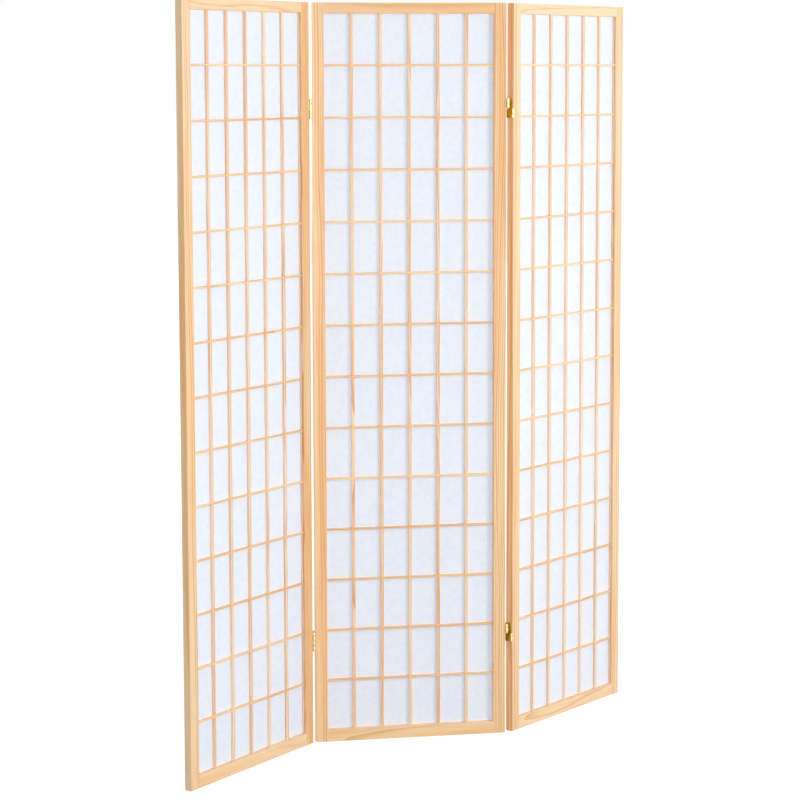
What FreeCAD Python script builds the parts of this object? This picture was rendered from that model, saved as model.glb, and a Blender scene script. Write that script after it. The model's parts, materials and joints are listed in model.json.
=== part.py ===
"""Folding screen of three papered lattice panels, joined by small two-way link hinges.

Frame: origin at the bottom centre of the middle panel, +X along that panel's width,
+Y from its front to its back, +Z up. The screen is drawn standing in its zigzag: the
left panel is folded towards the front, the right panel towards the back.
"""
import FreeCAD, Part
import os
import Sketcher

ROW_START = 1
SIZES = {
    # whole panel
    "panel_height": 1700.0,
    "panel_width": 448.0,
    "panel_thickness": 18.0,
    "stile_width": 28.0,
    "top_rail_height": 23.5,
    "bottom_rail_height": 28.0,
    "edge_round": 1.0,
    # stub tenons that join rails to stiles
    "tenon_thickness": 6.0,
    "tenon_length": 16.0,
    "tenon_shoulder": 3.0,
    "mortise_relief": 0.5,
    # rebate behind the front lip, which holds the lattice, the paper and the beads
    "lip_thickness": 4.0,
    "rebate_width": 6.8,
    "rebate_clearance": 0.3,
    # lattice
    "column_count": 6,
    "row_count": 14,
    "upright_width": 7.0,
    "upright_depth": 5.5,
    "cross_height": 4.2,
    "cross_depth": 7.0,
    "lap_depth": 2.75,
    # paper and the beads behind it
    "paper_thickness": 0.4,
    "bead_width": 10.0,
    "bead_depth": 4.1,
    # hinge lines
    "fold_left": 46.0,
    "fold_right": 41.0,
    "hinge_gap": 7.0,
    "hinge_inset": 238.0,
    "axis_proud": 0.75,
    # two-way link hinge
    "hinge_height": 44.0,
    "leaf_thickness": 1.2,
    "link_thickness": 1.2,
    "knuckle_radius": 3.2,
    "knuckle_clearance": 0.35,
    "knuckle_end_gap": 0.15,
    "half_spacing": 2.0,
    "pin_radius": 1.5,
    "pin_running_clearance": 0.05,
    # hinge screws
    "screw_spacing": 24.0,
    "screw_head_radius": 2.8,
    "screw_shank_radius": 1.25,
    "screw_length": 12.0,
}

document = FreeCAD.newDocument("folding_screen")
sheet = document.addObject("Spreadsheet::Sheet", "sizes")
for row, (alias, value) in enumerate(SIZES.items(), start=ROW_START):
    sheet.set("A%d" % row, alias)
    sheet.set("B%d" % row, str(value))
    sheet.setAlias("B%d" % row, alias)
document.recompute()


def size(alias):
    """Return the expression that reads one driving dimension."""
    return "sizes." + alias


# Lengths and places worked out from the driving dimensions, as expressions.
HEIGHT = size("panel_height")
WIDTH = size("panel_width")
THICKNESS = size("panel_thickness")
FRONT = "(-%s / 2)" % THICKNESS
BACK = "(%s / 2)" % THICKNESS
OPENING_WIDTH = "(%s - 2 * %s)" % (WIDTH, size("stile_width"))
OPENING_LOW = size("bottom_rail_height")
OPENING_HIGH = "(%s - %s)" % (HEIGHT, size("top_rail_height"))
OPENING_HEIGHT = "(%s - %s)" % (OPENING_HIGH, OPENING_LOW)
REBATE = size("rebate_width")
REBATE_FRONT = "(%s + %s)" % (FRONT, size("lip_thickness"))
REBATE_DEPTH = "(%s - %s)" % (THICKNESS, size("lip_thickness"))
REBATE_LOW = "(%s - %s)" % (OPENING_LOW, REBATE)
REBATE_HEIGHT = "(%s + 2 * %s)" % (OPENING_HEIGHT, REBATE)
INSERT_REACH = "(%s - %s)" % (REBATE, size("rebate_clearance"))
LATTICE_WIDTH = "(%s + 2 * %s)" % (OPENING_WIDTH, INSERT_REACH)
LATTICE_LEFT = "(-%s / 2)" % LATTICE_WIDTH
LATTICE_LOW = "(%s - %s)" % (OPENING_LOW, INSERT_REACH)
LATTICE_HEIGHT = "(%s + 2 * %s)" % (OPENING_HEIGHT, INSERT_REACH)
PAPER_FRONT = "(%s + %s)" % (REBATE_FRONT, size("cross_depth"))
UPRIGHT_FRONT = "(%s - %s)" % (PAPER_FRONT, size("upright_depth"))
UPRIGHT_STEP = "((%s - %s) / %s)" % (LATTICE_WIDTH, size("upright_width"), size("column_count"))
# the end cross bars show as little of themselves past the rails as the end uprights do
END_CROSS_LOW = "(%s + %s - %s - %s)" % (
    OPENING_LOW, size("upright_width"), INSERT_REACH, size("cross_height"))
CROSS_RUN = "(%s + 2 * (%s - %s))" % (
    OPENING_HEIGHT, size("cross_height"), "(%s - %s)" % (size("upright_width"), INSERT_REACH))
CROSS_STEP = "((%s - %s) / %s)" % (CROSS_RUN, size("cross_height"), size("row_count"))
LAP_PLANE = "(%s - %s)" % (PAPER_FRONT, size("lap_depth"))
BEAD_FRONT = "(%s + %s)" % (PAPER_FRONT, size("paper_thickness"))

# Hinge line: the pivots lie mid-gap, a little outside the front and back faces.
AXIS_OFFSET = "(%s / 2 + %s)" % (THICKNESS, size("axis_proud"))
LINE_OFFSET = "((%s + %s) / 2)" % (WIDTH, size("hinge_gap"))
LEAF_FACE = "(-%s / 2)" % size("hinge_gap")
HALF_HINGE = "(%s / 2)" % size("hinge_height")
HALF_SPACING = "(%s / 2)" % size("half_spacing")
BODY_REACH = "(%s - %s - %s)" % (AXIS_OFFSET, size("knuckle_radius"), size("knuckle_clearance"))
KNUCKLE_REACH = "(%s + 2 * %s)" % (AXIS_OFFSET, size("knuckle_radius"))
# each half of a hinge holds, end to end, a leaf's eye and a link's eye
HALF_RUN = "(%s - %s)" % (HALF_HINGE, HALF_SPACING)
EYE_HEIGHT = "((%s - %s) / 2)" % (HALF_RUN, size("knuckle_end_gap"))
LOW_HINGE = size("hinge_inset")
HIGH_HINGE = "(%s - %s)" % (HEIGHT, size("hinge_inset"))

# Stub tenons, each as its lowest edge and its height.
TENON_TRIM = "(%s + 2 * %s)" % (REBATE, size("tenon_shoulder"))
TOP_TENON = ("(%s + %s + %s)" % (OPENING_HIGH, REBATE, size("tenon_shoulder")),
             "(%s - %s)" % (size("top_rail_height"), TENON_TRIM))
BOTTOM_TENON = (size("tenon_shoulder"),
                "(%s - %s)" % (size("bottom_rail_height"), TENON_TRIM))


def number(expression):
    """Return an expression's present value, for a sketch's first outline."""
    value = sheet.evalExpression(expression)
    return float(getattr(value, "Value", value))


def new_body(label, frame):
    """Start a body with its own label and place it in its panel's or hinge's frame."""
    body = document.addObject("PartDesign::Body", label)
    body.Label = label
    put_in_frame(body, frame)
    return body


def put_in_frame(piece, frame):
    """Tie a piece's placement to a frame: place in X, Y and Z, and turn about Z."""
    along, across, up, turn = frame
    angle = number(turn)
    piece.Placement = FreeCAD.Placement(
        FreeCAD.Vector(0, 0, 0), FreeCAD.Rotation(FreeCAD.Vector(0, 0, 1), angle))
    piece.setExpression("Placement.Base.x", along)
    piece.setExpression("Placement.Base.y", across)
    piece.setExpression("Placement.Base.z", up)
    piece.setExpression("Placement.Rotation.Angle", turn)


def new_sketch(body, plane, name, offset="0"):
    """Attach an empty sketch to one of the body's own origin planes, moved along its normal."""
    sketch = body.newObject("Sketcher::SketchObject", name)
    for feature in body.Origin.OriginFeatures:
        if feature.Role == plane:
            sketch.AttachmentSupport = [(feature, "")]
    sketch.MapMode = "FlatFace"
    sketch.setExpression("AttachmentOffset.Base.z", offset)
    return sketch


def tie(sketch, name, kind, places, expression):
    """Add a dimension to a sketch and bind it to an expression."""
    index = sketch.addConstraint(Sketcher.Constraint(kind, *places, number(expression)))
    sketch.renameConstraint(index, name)
    sketch.setExpression("Constraints." + name, expression)


def add_rectangle(sketch, left, low, width, height):
    """Draw a rectangle whose corner and sides are bound to expressions."""
    first = len(sketch.Geometry)
    x_low, y_low = number(left), number(low)
    x_high, y_high = x_low + number(width), y_low + number(height)
    corners = [(x_low, y_low), (x_high, y_low), (x_high, y_high), (x_low, y_high)]
    points = [FreeCAD.Vector(x, y, 0) for x, y in corners]
    for index, point in enumerate(points):
        sketch.addGeometry(Part.LineSegment(point, points[(index + 1) % len(points)]))
    sides = [first + index for index in range(len(points))]
    for side, following in zip(sides, sides[1:] + sides[:1]):
        sketch.addConstraint(Sketcher.Constraint("Coincident", side, 2, following, 1))
    for side in sides[::2]:
        sketch.addConstraint(Sketcher.Constraint("Horizontal", side))
    for side in sides[1::2]:
        sketch.addConstraint(Sketcher.Constraint("Vertical", side))
    tie(sketch, "left_%d" % first, "DistanceX", (-1, 1, first, 1), left)
    tie(sketch, "low_%d" % first, "DistanceY", (-1, 1, first, 1), low)
    tie(sketch, "width_%d" % first, "DistanceX", (first, 1, first, 2), width)
    tie(sketch, "height_%d" % first, "DistanceY", (first + 1, 1, first + 1, 2), height)


def add_circle(sketch, along, up, radius):
    """Draw a circle whose centre and radius are bound to expressions."""
    index = len(sketch.Geometry)
    centre = FreeCAD.Vector(number(along), number(up), 0)
    sketch.addGeometry(Part.Circle(centre, FreeCAD.Vector(0, 0, 1), number(radius)))
    tie(sketch, "along_%d" % index, "DistanceX", (-1, 1, index, 3), along)
    tie(sketch, "up_%d" % index, "DistanceY", (-1, 1, index, 3), up)
    tie(sketch, "radius_%d" % index, "Radius", (index,), radius)


def pad(body, sketch, length):
    """Raise a sketch along its normal."""
    feature = body.newObject("PartDesign::Pad", "pad")
    feature.Profile = sketch
    feature.setExpression("Length", length)
    document.recompute()
    return feature


def pocket(body, sketch, depth, towards_normal):
    """Cut a sketch into the body, and make sure that it takes material away."""
    before = body.Shape.Volume
    feature = body.newObject("PartDesign::Pocket", "pocket")
    feature.Profile = sketch
    feature.Reversed = towards_normal
    feature.setExpression("Length", depth)
    document.recompute()
    if body.Shape.Volume >= before:
        raise RuntimeError("%s: pocket %s cuts nothing" % (body.Label, sketch.Name))
    return feature


def linear_pattern(body, features, axis, count, run):
    """Repeat features along one of the body's own axes, the copies spread over a run."""
    feature = body.newObject("PartDesign::LinearPattern", "pattern")
    feature.Originals = features
    for origin_feature in body.Origin.OriginFeatures:
        if origin_feature.Role == axis:
            feature.Direction = (origin_feature, [""])
    feature.setExpression("Occurrences", count)
    feature.setExpression("Length", run)
    body.Tip = feature
    document.recompute()
    return feature


def cylinder(label, radius, length, along, across, up):
    """Make an upright cylinder, standing on the given place in its frame."""
    piece = document.addObject("Part::Cylinder", label)
    piece.setExpression("Radius", radius)
    piece.setExpression("Height", length)
    piece.setExpression("Placement.Base.x", along)
    piece.setExpression("Placement.Base.y", across)
    piece.setExpression("Placement.Base.z", up)
    return piece


def lying_round(kind, label, sizes, along, up, turn):
    """Make a cylinder or cone that lies along X, turned about Y by the given angle."""
    piece = document.addObject(kind, label)
    for name, expression in sizes.items():
        piece.setExpression(name, expression)
    piece.Placement = FreeCAD.Placement(
        FreeCAD.Vector(0, 0, 0), FreeCAD.Rotation(FreeCAD.Vector(0, 1, 0), turn))
    piece.setExpression("Placement.Base.x", along)
    piece.setExpression("Placement.Base.z", up)
    return piece


def group(label, pieces, frame):
    """Keep loose pieces of one kind together as separate solids of one sub-part."""
    compound = document.addObject("Part::Compound", label)
    compound.Label = label
    compound.Links = pieces
    put_in_frame(compound, frame)
    return compound


# Frames. Each is the place in X, Y and Z and the turn about Z, as expressions.
def turned_frame(line, axis, turn, centre):
    """Return the frame whose centre lies beside a pivot and is turned about that pivot."""
    along = "%s + cos(%s) * %s - sin(%s) * %s" % (line, turn, centre[0], turn, centre[1])
    across = "%s + sin(%s) * %s + cos(%s) * %s" % (axis, turn, centre[0], turn, centre[1])
    return (along, across, "0", turn)


LEFT_LINE = "(-%s)" % LINE_OFFSET
RIGHT_LINE = LINE_OFFSET
FRONT_AXIS = "(-%s)" % AXIS_OFFSET
BACK_AXIS = AXIS_OFFSET
LEFT_TURN = size("fold_left")
RIGHT_TURN = size("fold_right")
PANEL_FRAMES = {
    "left": turned_frame(LEFT_LINE, FRONT_AXIS, LEFT_TURN, (LEFT_LINE, BACK_AXIS)),
    "middle": ("0", "0", "0", "0"),
    "right": turned_frame(RIGHT_LINE, BACK_AXIS, RIGHT_TURN, (RIGHT_LINE, FRONT_AXIS)),
}
HINGE_FRAMES = {
    ("left", "inner"): (LEFT_LINE, "0", "0", "0"),
    ("left", "outer"): turned_frame(LEFT_LINE, FRONT_AXIS, LEFT_TURN, ("0", BACK_AXIS)),
    ("right", "inner"): (RIGHT_LINE, "0", "0", "0"),
    ("right", "outer"): turned_frame(RIGHT_LINE, BACK_AXIS, RIGHT_TURN, ("0", FRONT_AXIS)),
}
HALF_TURN = "180"
# a leaf on the left of its hinge line is drawn as it lies, one on the right is turned half round
LEAF_ON_LEFT = {("left", "outer"): True, ("left", "inner"): False,
                ("right", "inner"): True, ("right", "outer"): False}
# stiles that carry hinges, on each panel
HINGED_SIDES = {"left": ("right",), "middle": ("left", "right"), "right": ("left",)}

parts = []


def screw_heights(hinge_height_place):
    """Return the heights of a leaf's two screws."""
    half = "%s / 2" % size("screw_spacing")
    return ["(%s - %s)" % (hinge_height_place, half), "(%s + %s)" % (hinge_height_place, half)]


def make_stile(panel, side):
    """Make one full-height stile: rebated behind its lip, mortised for both rails."""
    body = new_body("%s_panel_%s_stile" % (panel, side), PANEL_FRAMES[panel])
    on_left = side == "left"
    outer = "(-%s / 2)" % WIDTH if on_left else "(%s / 2)" % WIDTH
    corner = outer if on_left else "(%s - %s)" % (outer, size("stile_width"))
    inner = "(%s + %s)" % (outer, size("stile_width")) if on_left else corner

    section = new_sketch(body, "XY_Plane", "section")
    add_rectangle(section, corner, FRONT, size("stile_width"), THICKNESS)
    blank = pad(body, section, HEIGHT)

    round_over = body.newObject("PartDesign::Fillet", "round_over")
    outer_edges = [
        "Edge%d" % index for index, edge in enumerate(blank.Shape.Edges, start=1)
        if edge.BoundBox.XLength < edge.BoundBox.ZLength
        and abs(edge.BoundBox.XMin - number(outer)) < number(size("edge_round"))]
    round_over.Base = (blank, outer_edges)
    round_over.setExpression("Radius", size("edge_round"))
    document.recompute()

    rebate = new_sketch(body, "XZ_Plane", "rebate", "-%s" % BACK)
    rebate_left = "(%s - %s)" % (inner, REBATE) if on_left else inner
    add_rectangle(rebate, rebate_left, REBATE_LOW, REBATE, REBATE_HEIGHT)
    pocket(body, rebate, REBATE_DEPTH, True)

    mortises = new_sketch(body, "YZ_Plane", "mortises", inner)
    for low, height in (TOP_TENON, BOTTOM_TENON):
        add_rectangle(mortises, "-%s / 2" % size("tenon_thickness"), low,
                      size("tenon_thickness"), height)
    mortise_depth = "%s + %s" % (size("tenon_length"), size("mortise_relief"))
    pocket(body, mortises, mortise_depth, not on_left)

    if side in HINGED_SIDES[panel]:
        pilots = new_sketch(body, "YZ_Plane", "pilot_holes", outer)
        for height in screw_heights(LOW_HINGE) + screw_heights(HIGH_HINGE):
            add_circle(pilots, "0", height, size("screw_shank_radius"))
        pilot_depth = "%s - %s" % (size("screw_length"), size("leaf_thickness"))
        pocket(body, pilots, pilot_depth, on_left)
    parts.append(body)


def make_rail(panel, end):
    """Make the top or bottom rail: rebated behind its lip, with a stub tenon at each end."""
    body = new_body("%s_panel_%s_rail" % (panel, end), PANEL_FRAMES[panel])
    on_top = end == "top"
    low = OPENING_HIGH if on_top else "0"
    height = size("top_rail_height") if on_top else size("bottom_rail_height")
    tenon_low, tenon_height = TOP_TENON if on_top else BOTTOM_TENON
    left = "(-%s / 2)" % OPENING_WIDTH

    section = new_sketch(body, "YZ_Plane", "section", left)
    add_rectangle(section, FRONT, low, THICKNESS, height)
    pad(body, section, OPENING_WIDTH)

    rebate = new_sketch(body, "YZ_Plane", "rebate", left)
    rebate_low = OPENING_HIGH if on_top else REBATE_LOW
    add_rectangle(rebate, REBATE_FRONT, rebate_low, REBATE_DEPTH, REBATE)
    pocket(body, rebate, OPENING_WIDTH, True)

    tenons = new_sketch(body, "YZ_Plane", "tenons", "%s - %s" % (left, size("tenon_length")))
    add_rectangle(tenons, "-%s / 2" % size("tenon_thickness"), tenon_low,
                  size("tenon_thickness"), tenon_height)
    pad(body, tenons, "%s + 2 * %s" % (OPENING_WIDTH, size("tenon_length")))
    parts.append(body)


def make_uprights(panel):
    """Make the upright bars, notched from the front where the cross bars lap over them."""
    body = new_body("%s_panel_upright_bars" % panel, PANEL_FRAMES[panel])
    section = new_sketch(body, "XY_Plane", "section", LATTICE_LOW)
    add_rectangle(section, LATTICE_LEFT, UPRIGHT_FRONT, size("upright_width"),
                  size("upright_depth"))
    bar = pad(body, section, LATTICE_HEIGHT)
    linear_pattern(body, [bar], "X_Axis", "%s + 1" % size("column_count"),
                   "%s * %s" % (UPRIGHT_STEP, size("column_count")))

    notch = new_sketch(body, "XZ_Plane", "notch", "-%s" % LAP_PLANE)
    add_rectangle(notch, LATTICE_LEFT, END_CROSS_LOW, LATTICE_WIDTH, size("cross_height"))
    cut = pocket(body, notch, size("upright_depth"), True)
    linear_pattern(body, [cut], "Z_Axis", "%s + 1" % size("row_count"),
                   "%s * %s" % (CROSS_STEP, size("row_count")))
    parts.append(body)


def make_crosses(panel):
    """Make the cross bars, which run unbroken in front and are notched behind."""
    body = new_body("%s_panel_cross_bars" % panel, PANEL_FRAMES[panel])
    section = new_sketch(body, "YZ_Plane", "section", LATTICE_LEFT)
    add_rectangle(section, REBATE_FRONT, END_CROSS_LOW, size("cross_depth"),
                  size("cross_height"))
    bar = pad(body, section, LATTICE_WIDTH)
    linear_pattern(body, [bar], "Z_Axis", "%s + 1" % size("row_count"),
                   "%s * %s" % (CROSS_STEP, size("row_count")))

    notch = new_sketch(body, "XZ_Plane", "notch", "-%s" % PAPER_FRONT)
    add_rectangle(notch, LATTICE_LEFT, LATTICE_LOW, size("upright_width"), LATTICE_HEIGHT)
    cut = pocket(body, notch, size("lap_depth"), True)
    linear_pattern(body, [cut], "X_Axis", "%s + 1" % size("column_count"),
                   "%s * %s" % (UPRIGHT_STEP, size("column_count")))
    parts.append(body)


def make_slab(label, panel, left, front, low, width, depth, height):
    """Make a plain rectangular piece of one panel."""
    slab = document.addObject("Part::Box", label)
    slab.Label = label
    for name, expression in (("Length", width), ("Width", depth), ("Height", height)):
        slab.setExpression(name, expression)
    along, across, up, turn = PANEL_FRAMES[panel]
    corner = (
        "%s + cos(%s) * %s - sin(%s) * %s" % (along, turn, left, turn, front),
        "%s + sin(%s) * %s + cos(%s) * %s" % (across, turn, left, turn, front),
        low, turn)
    put_in_frame(slab, corner)
    parts.append(slab)


def make_paper(panel):
    """Make the sheet that is glued behind the lattice."""
    make_slab("%s_panel_paper" % panel, panel, LATTICE_LEFT, PAPER_FRONT, LATTICE_LOW,
              LATTICE_WIDTH, size("paper_thickness"), LATTICE_HEIGHT)


def make_beads(panel):
    """Make the four beads that hold lattice and paper in the rebate from behind."""
    rebate_left = "(-%s / 2 - %s)" % (OPENING_WIDTH, REBATE)
    right_bead = "(%s / 2 + %s - %s)" % (OPENING_WIDTH, REBATE, size("bead_width"))
    for side, left in (("left", rebate_left), ("right", right_bead)):
        make_slab("%s_panel_%s_bead" % (panel, side), panel, left, BEAD_FRONT, REBATE_LOW,
                  size("bead_width"), size("bead_depth"), REBATE_HEIGHT)
    between_left = "(%s + %s)" % (rebate_left, size("bead_width"))
    between_width = "(%s + 2 * %s - 2 * %s)" % (OPENING_WIDTH, REBATE, size("bead_width"))
    top_low = "(%s + %s - %s)" % (REBATE_LOW, REBATE_HEIGHT, size("bead_width"))
    for end, low in (("top", top_low), ("bottom", REBATE_LOW)):
        make_slab("%s_panel_%s_bead" % (panel, end), panel, between_left, BEAD_FRONT, low,
                  between_width, size("bead_depth"), size("bead_width"))


def hinge_place(line, owner, height, half_round=False):
    """Return the frame of one hinge piece at its height on the hinge line."""
    along, across, _, turn = HINGE_FRAMES[(line, owner)]
    full_turn = "%s + %s" % (turn, HALF_TURN) if half_round else turn
    return (along, across, height, full_turn)


def make_leaf(line, position, owner, height):
    """Make one hinge leaf: a plate with two rolled eyes, notched for all the other eyes.

    It is drawn for the left side of the hinge line: its front eye is at the upper end and its
    back eye at the lower end, so that the two links are caught between them.
    """
    name = "%s_%s_hinge_%s_leaf" % (line, position, owner)
    half_round = not LEAF_ON_LEFT[(line, owner)]
    body = document.addObject("PartDesign::Body", name + "_blank")
    plate = new_sketch(body, "XY_Plane", "plate", "-%s" % HALF_HINGE)
    add_rectangle(plate, LEAF_FACE, "-%s" % AXIS_OFFSET, size("leaf_thickness"),
                  "2 * %s" % AXIS_OFFSET)
    pad(body, plate, size("hinge_height"))
    eyes = new_sketch(body, "XY_Plane", "eyes", "-%s" % HALF_HINGE)
    for across in (FRONT_AXIS, BACK_AXIS):
        add_circle(eyes, "0", across, size("knuckle_radius"))
        add_circle(eyes, "0", across, size("pin_radius"))
    pad(body, eyes, size("hinge_height"))

    notches = new_sketch(body, "YZ_Plane", "notches", "-%s" % size("hinge_gap"))
    notch_width = "(%s - %s)" % (KNUCKLE_REACH, BODY_REACH)
    notch_height = "(%s - %s)" % (size("hinge_height"), EYE_HEIGHT)
    back_notch_low = "(%s - %s)" % (EYE_HEIGHT, HALF_HINGE)
    add_rectangle(notches, "-%s" % KNUCKLE_REACH, "-%s" % HALF_HINGE, notch_width, notch_height)
    add_rectangle(notches, BODY_REACH, back_notch_low, notch_width, notch_height)
    pocket(body, notches, "2 * %s" % size("hinge_gap"), True)

    seats = []
    for index, sign in enumerate(("-", "")):
        seats.append(lying_round(
            "Part::Cone", "%s_seat_%d" % (name, index),
            {"Radius1": size("screw_shank_radius"), "Radius2": size("screw_head_radius"),
             "Height": size("leaf_thickness")},
            LEAF_FACE, "%s%s / 2" % (sign, size("screw_spacing")), 90.0))
    both = document.addObject("Part::Compound", name + "_seats")
    both.Links = seats
    leaf = document.addObject("Part::Cut", name)
    leaf.Label = name
    leaf.Base = body
    leaf.Tool = both
    put_in_frame(leaf, hinge_place(line, owner, height, half_round))
    parts.append(leaf)


def make_link(line, position, half, owner, height):
    """Make one link plate: an eye on the front pin, an eye on the back pin, a web between."""
    body = new_body("%s_%s_hinge_%s_link" % (line, position, half),
                    hinge_place(line, owner, height))
    on_top = half == "upper"
    half_thickness = "%s / 2" % size("link_thickness")
    web = new_sketch(body, "XY_Plane", "web", HALF_SPACING if on_top else "-%s" % HALF_HINGE)
    add_rectangle(web, "-%s" % half_thickness, "-%s" % BODY_REACH,
                  size("link_thickness"), "2 * %s" % BODY_REACH)
    pad(body, web, HALF_RUN)

    eye_low = HALF_SPACING if on_top else "-%s - %s" % (HALF_SPACING, EYE_HEIGHT)
    bridge = new_sketch(body, "XY_Plane", "bridge", eye_low)
    add_rectangle(bridge, "-%s" % half_thickness, FRONT_AXIS,
                  size("link_thickness"), "2 * %s" % AXIS_OFFSET)
    pad(body, bridge, EYE_HEIGHT)
    eyes = new_sketch(body, "XY_Plane", "eyes", eye_low)
    bores = new_sketch(body, "XY_Plane", "bores", eye_low)
    bore = "%s + %s" % (size("pin_radius"), size("pin_running_clearance"))
    for across in (FRONT_AXIS, BACK_AXIS):
        add_circle(eyes, "0", across, size("knuckle_radius"))
        add_circle(bores, "0", across, bore)
    pad(body, eyes, EYE_HEIGHT)
    pocket(body, bores, EYE_HEIGHT, True)
    parts.append(body)


def make_pins(line, owner, heights):
    """Make the hinge pins pressed into one panel's leaves on one hinge line."""
    on_left = LEAF_ON_LEFT[(line, owner)]
    upper_axis, lower_axis = (FRONT_AXIS, BACK_AXIS) if on_left else (BACK_AXIS, FRONT_AXIS)
    label = "%s_hinge_%s_pins" % (line, owner)
    pieces = []
    for index, height in enumerate(heights):
        for half, across, low in (
                ("upper", upper_axis, "%s + %s" % (height, HALF_SPACING)),
                ("lower", lower_axis, "%s - %s" % (height, HALF_HINGE))):
            pieces.append(cylinder("%s_%s_%d" % (label, half, index), size("pin_radius"),
                                   HALF_RUN, "0", across, low))
    parts.append(group(label, pieces, HINGE_FRAMES[(line, owner)]))


def make_screw(label, towards_left, height):
    """Make one countersunk wood screw, its head in a leaf's seat, driven along X."""
    sign = "-" if towards_left else ""
    turn = -90.0 if towards_left else 90.0
    wood_face = "%s%s / 2" % (sign, size("hinge_gap"))
    head_face = "%s(%s / 2 - %s)" % (sign, size("hinge_gap"), size("leaf_thickness"))
    head = lying_round(
        "Part::Cone", label + "_head",
        {"Radius1": size("screw_head_radius"), "Radius2": size("screw_shank_radius"),
         "Height": size("leaf_thickness")}, head_face, height, turn)
    shank = lying_round(
        "Part::Cylinder", label + "_shank",
        {"Radius": size("screw_shank_radius"),
         "Height": "%s - %s" % (size("screw_length"), size("leaf_thickness"))},
        wood_face, height, turn)
    screw = document.addObject("Part::Fuse", label)
    screw.Base = head
    screw.Tool = shank
    return screw


def make_screws(line, owner, heights):
    """Make the screws that hold one panel's leaves on one hinge line."""
    label = "%s_hinge_%s_screws" % (line, owner)
    places = [place for height in heights for place in screw_heights(height)]
    pieces = [make_screw("%s_%d" % (label, index), LEAF_ON_LEFT[(line, owner)], place)
              for index, place in enumerate(places)]
    parts.append(group(label, pieces, HINGE_FRAMES[(line, owner)]))


for panel_name in ("left", "middle", "right"):
    for side_name in ("left", "right"):
        make_stile(panel_name, side_name)
    for end_name in ("top", "bottom"):
        make_rail(panel_name, end_name)
    make_uprights(panel_name)
    make_crosses(panel_name)
    make_paper(panel_name)
    make_beads(panel_name)

# On the left line the upper links stay with the middle panel and the lower ones go with the
# left panel; on the right line the upper links stay too, and the lower ones go with the right.
for line_name in ("left", "right"):
    for position_name, hinge_level in (("bottom", LOW_HINGE), ("top", HIGH_HINGE)):
        for owner_name in ("outer", "inner"):
            make_leaf(line_name, position_name, owner_name, hinge_level)
        make_link(line_name, position_name, "upper", "inner", hinge_level)
        make_link(line_name, position_name, "lower", "outer", hinge_level)
    for owner_name in ("outer", "inner"):
        make_pins(line_name, owner_name, (LOW_HINGE, HIGH_HINGE))
        make_screws(line_name, owner_name, (LOW_HINGE, HIGH_HINGE))

document.recompute()

for item in document.Objects:
    if "Invalid" in item.State or "Error" in item.State:
        raise RuntimeError("%s did not compute: %s" % (item.Label, item.State))

os.makedirs("parts", exist_ok=True)
for part in parts:
    shape = part.Shape
    if shape.isNull() or not shape.isValid() or not shape.Solids:
        raise RuntimeError("%s has no valid solid" % part.Label)
    shape.exportStep("parts/%s.step" % part.Label)
    print("%s: %d solids, %.1f mm3" % (part.Label, len(shape.Solids), shape.Volume))
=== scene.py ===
"""Looks of the papered folding screen, dressed onto its fixed frame.

Three pine panels with a half-lapped lattice and white fibrous paper stand in a zigzag. Small
brass two-way hinges join them. Every length is in metres and every piece stays where the frame
has it: wooden pieces are eased and grained copies, the paper is a taut sheet that gives a little
in each pane, and the hinge pieces get broken edges, domed pins and cross-slotted screws.
"""
import json
import logging
import math
import random
from dataclasses import dataclass, field
from enum import Enum
from typing import ClassVar

import bmesh
import bpy
from mathutils import Matrix, Vector

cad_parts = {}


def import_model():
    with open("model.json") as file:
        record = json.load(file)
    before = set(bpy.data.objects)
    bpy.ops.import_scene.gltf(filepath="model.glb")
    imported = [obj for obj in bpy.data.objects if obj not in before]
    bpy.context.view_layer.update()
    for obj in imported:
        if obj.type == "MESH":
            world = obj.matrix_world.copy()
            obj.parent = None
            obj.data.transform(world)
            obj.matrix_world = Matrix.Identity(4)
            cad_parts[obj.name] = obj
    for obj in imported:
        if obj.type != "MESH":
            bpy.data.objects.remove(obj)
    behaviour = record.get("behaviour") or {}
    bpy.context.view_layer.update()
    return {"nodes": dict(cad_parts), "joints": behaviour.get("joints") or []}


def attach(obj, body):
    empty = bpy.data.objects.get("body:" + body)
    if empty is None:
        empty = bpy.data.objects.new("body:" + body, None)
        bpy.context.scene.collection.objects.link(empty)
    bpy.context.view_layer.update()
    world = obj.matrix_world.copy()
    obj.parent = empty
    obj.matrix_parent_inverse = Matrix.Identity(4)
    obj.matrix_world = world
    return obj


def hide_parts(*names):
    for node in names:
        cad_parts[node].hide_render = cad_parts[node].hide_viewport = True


LOG = logging.getLogger("folding_screen")
PHOTO_PIXELS = 800
# Painted light and shade: the boards of the two side panels are painted paler, and those of the
# middle panel darker and more orange, for the light and sheen that fall on the side panels more
# than on the middle one.
PANEL_PAINTED_LIGHT = {"left": 0.35, "middle": -0.35, "right": 0.35}

BOARD_ATTRIBUTE = "board"
TONE_AND_LIGHT_ATTRIBUTE = "tone"
# On wood it marks sanded edges; on metal it also marks the rolled eyes, for their painted
# highlight.
ARRIS_ATTRIBUTE = "arris"

MERGE_DISTANCE = 0.00001
FLAT_ANGLE = math.radians(0.5)
SHARP_ANGLE = math.radians(33.0)
ARRIS_ANGLE = math.radians(50.0)
CURVE_BEND = (math.radians(3.0), math.radians(20.0))
GRID_REACH = 0.5
GRID_ROUNDING = 1e-6

# A panel's own directions: across it, through it and up.
WIDE, THICK, HIGH = range(3)

# The curve that screens use between a shown value and the light it stands for.
SCREEN_KNEE, SCREEN_SLOPE = 0.04045, 12.92
SCREEN_OFFSET, SCREEN_POWER = 0.055, 2.4
SCREEN_WHITE = 255

Colour = tuple[float, float, float]
Place = tuple[float, float, float]
Stretch = tuple[float, float]
Range = tuple[float, ...]
Source = bpy.types.NodeSocket | float | tuple
Sockets = dict[str, bpy.types.NodeSocket]
Nodes = dict[str, bpy.types.Object]

COLOUR_CHANNELS = 3
WHITE: Colour = (1.0, 1.0, 1.0)


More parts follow.
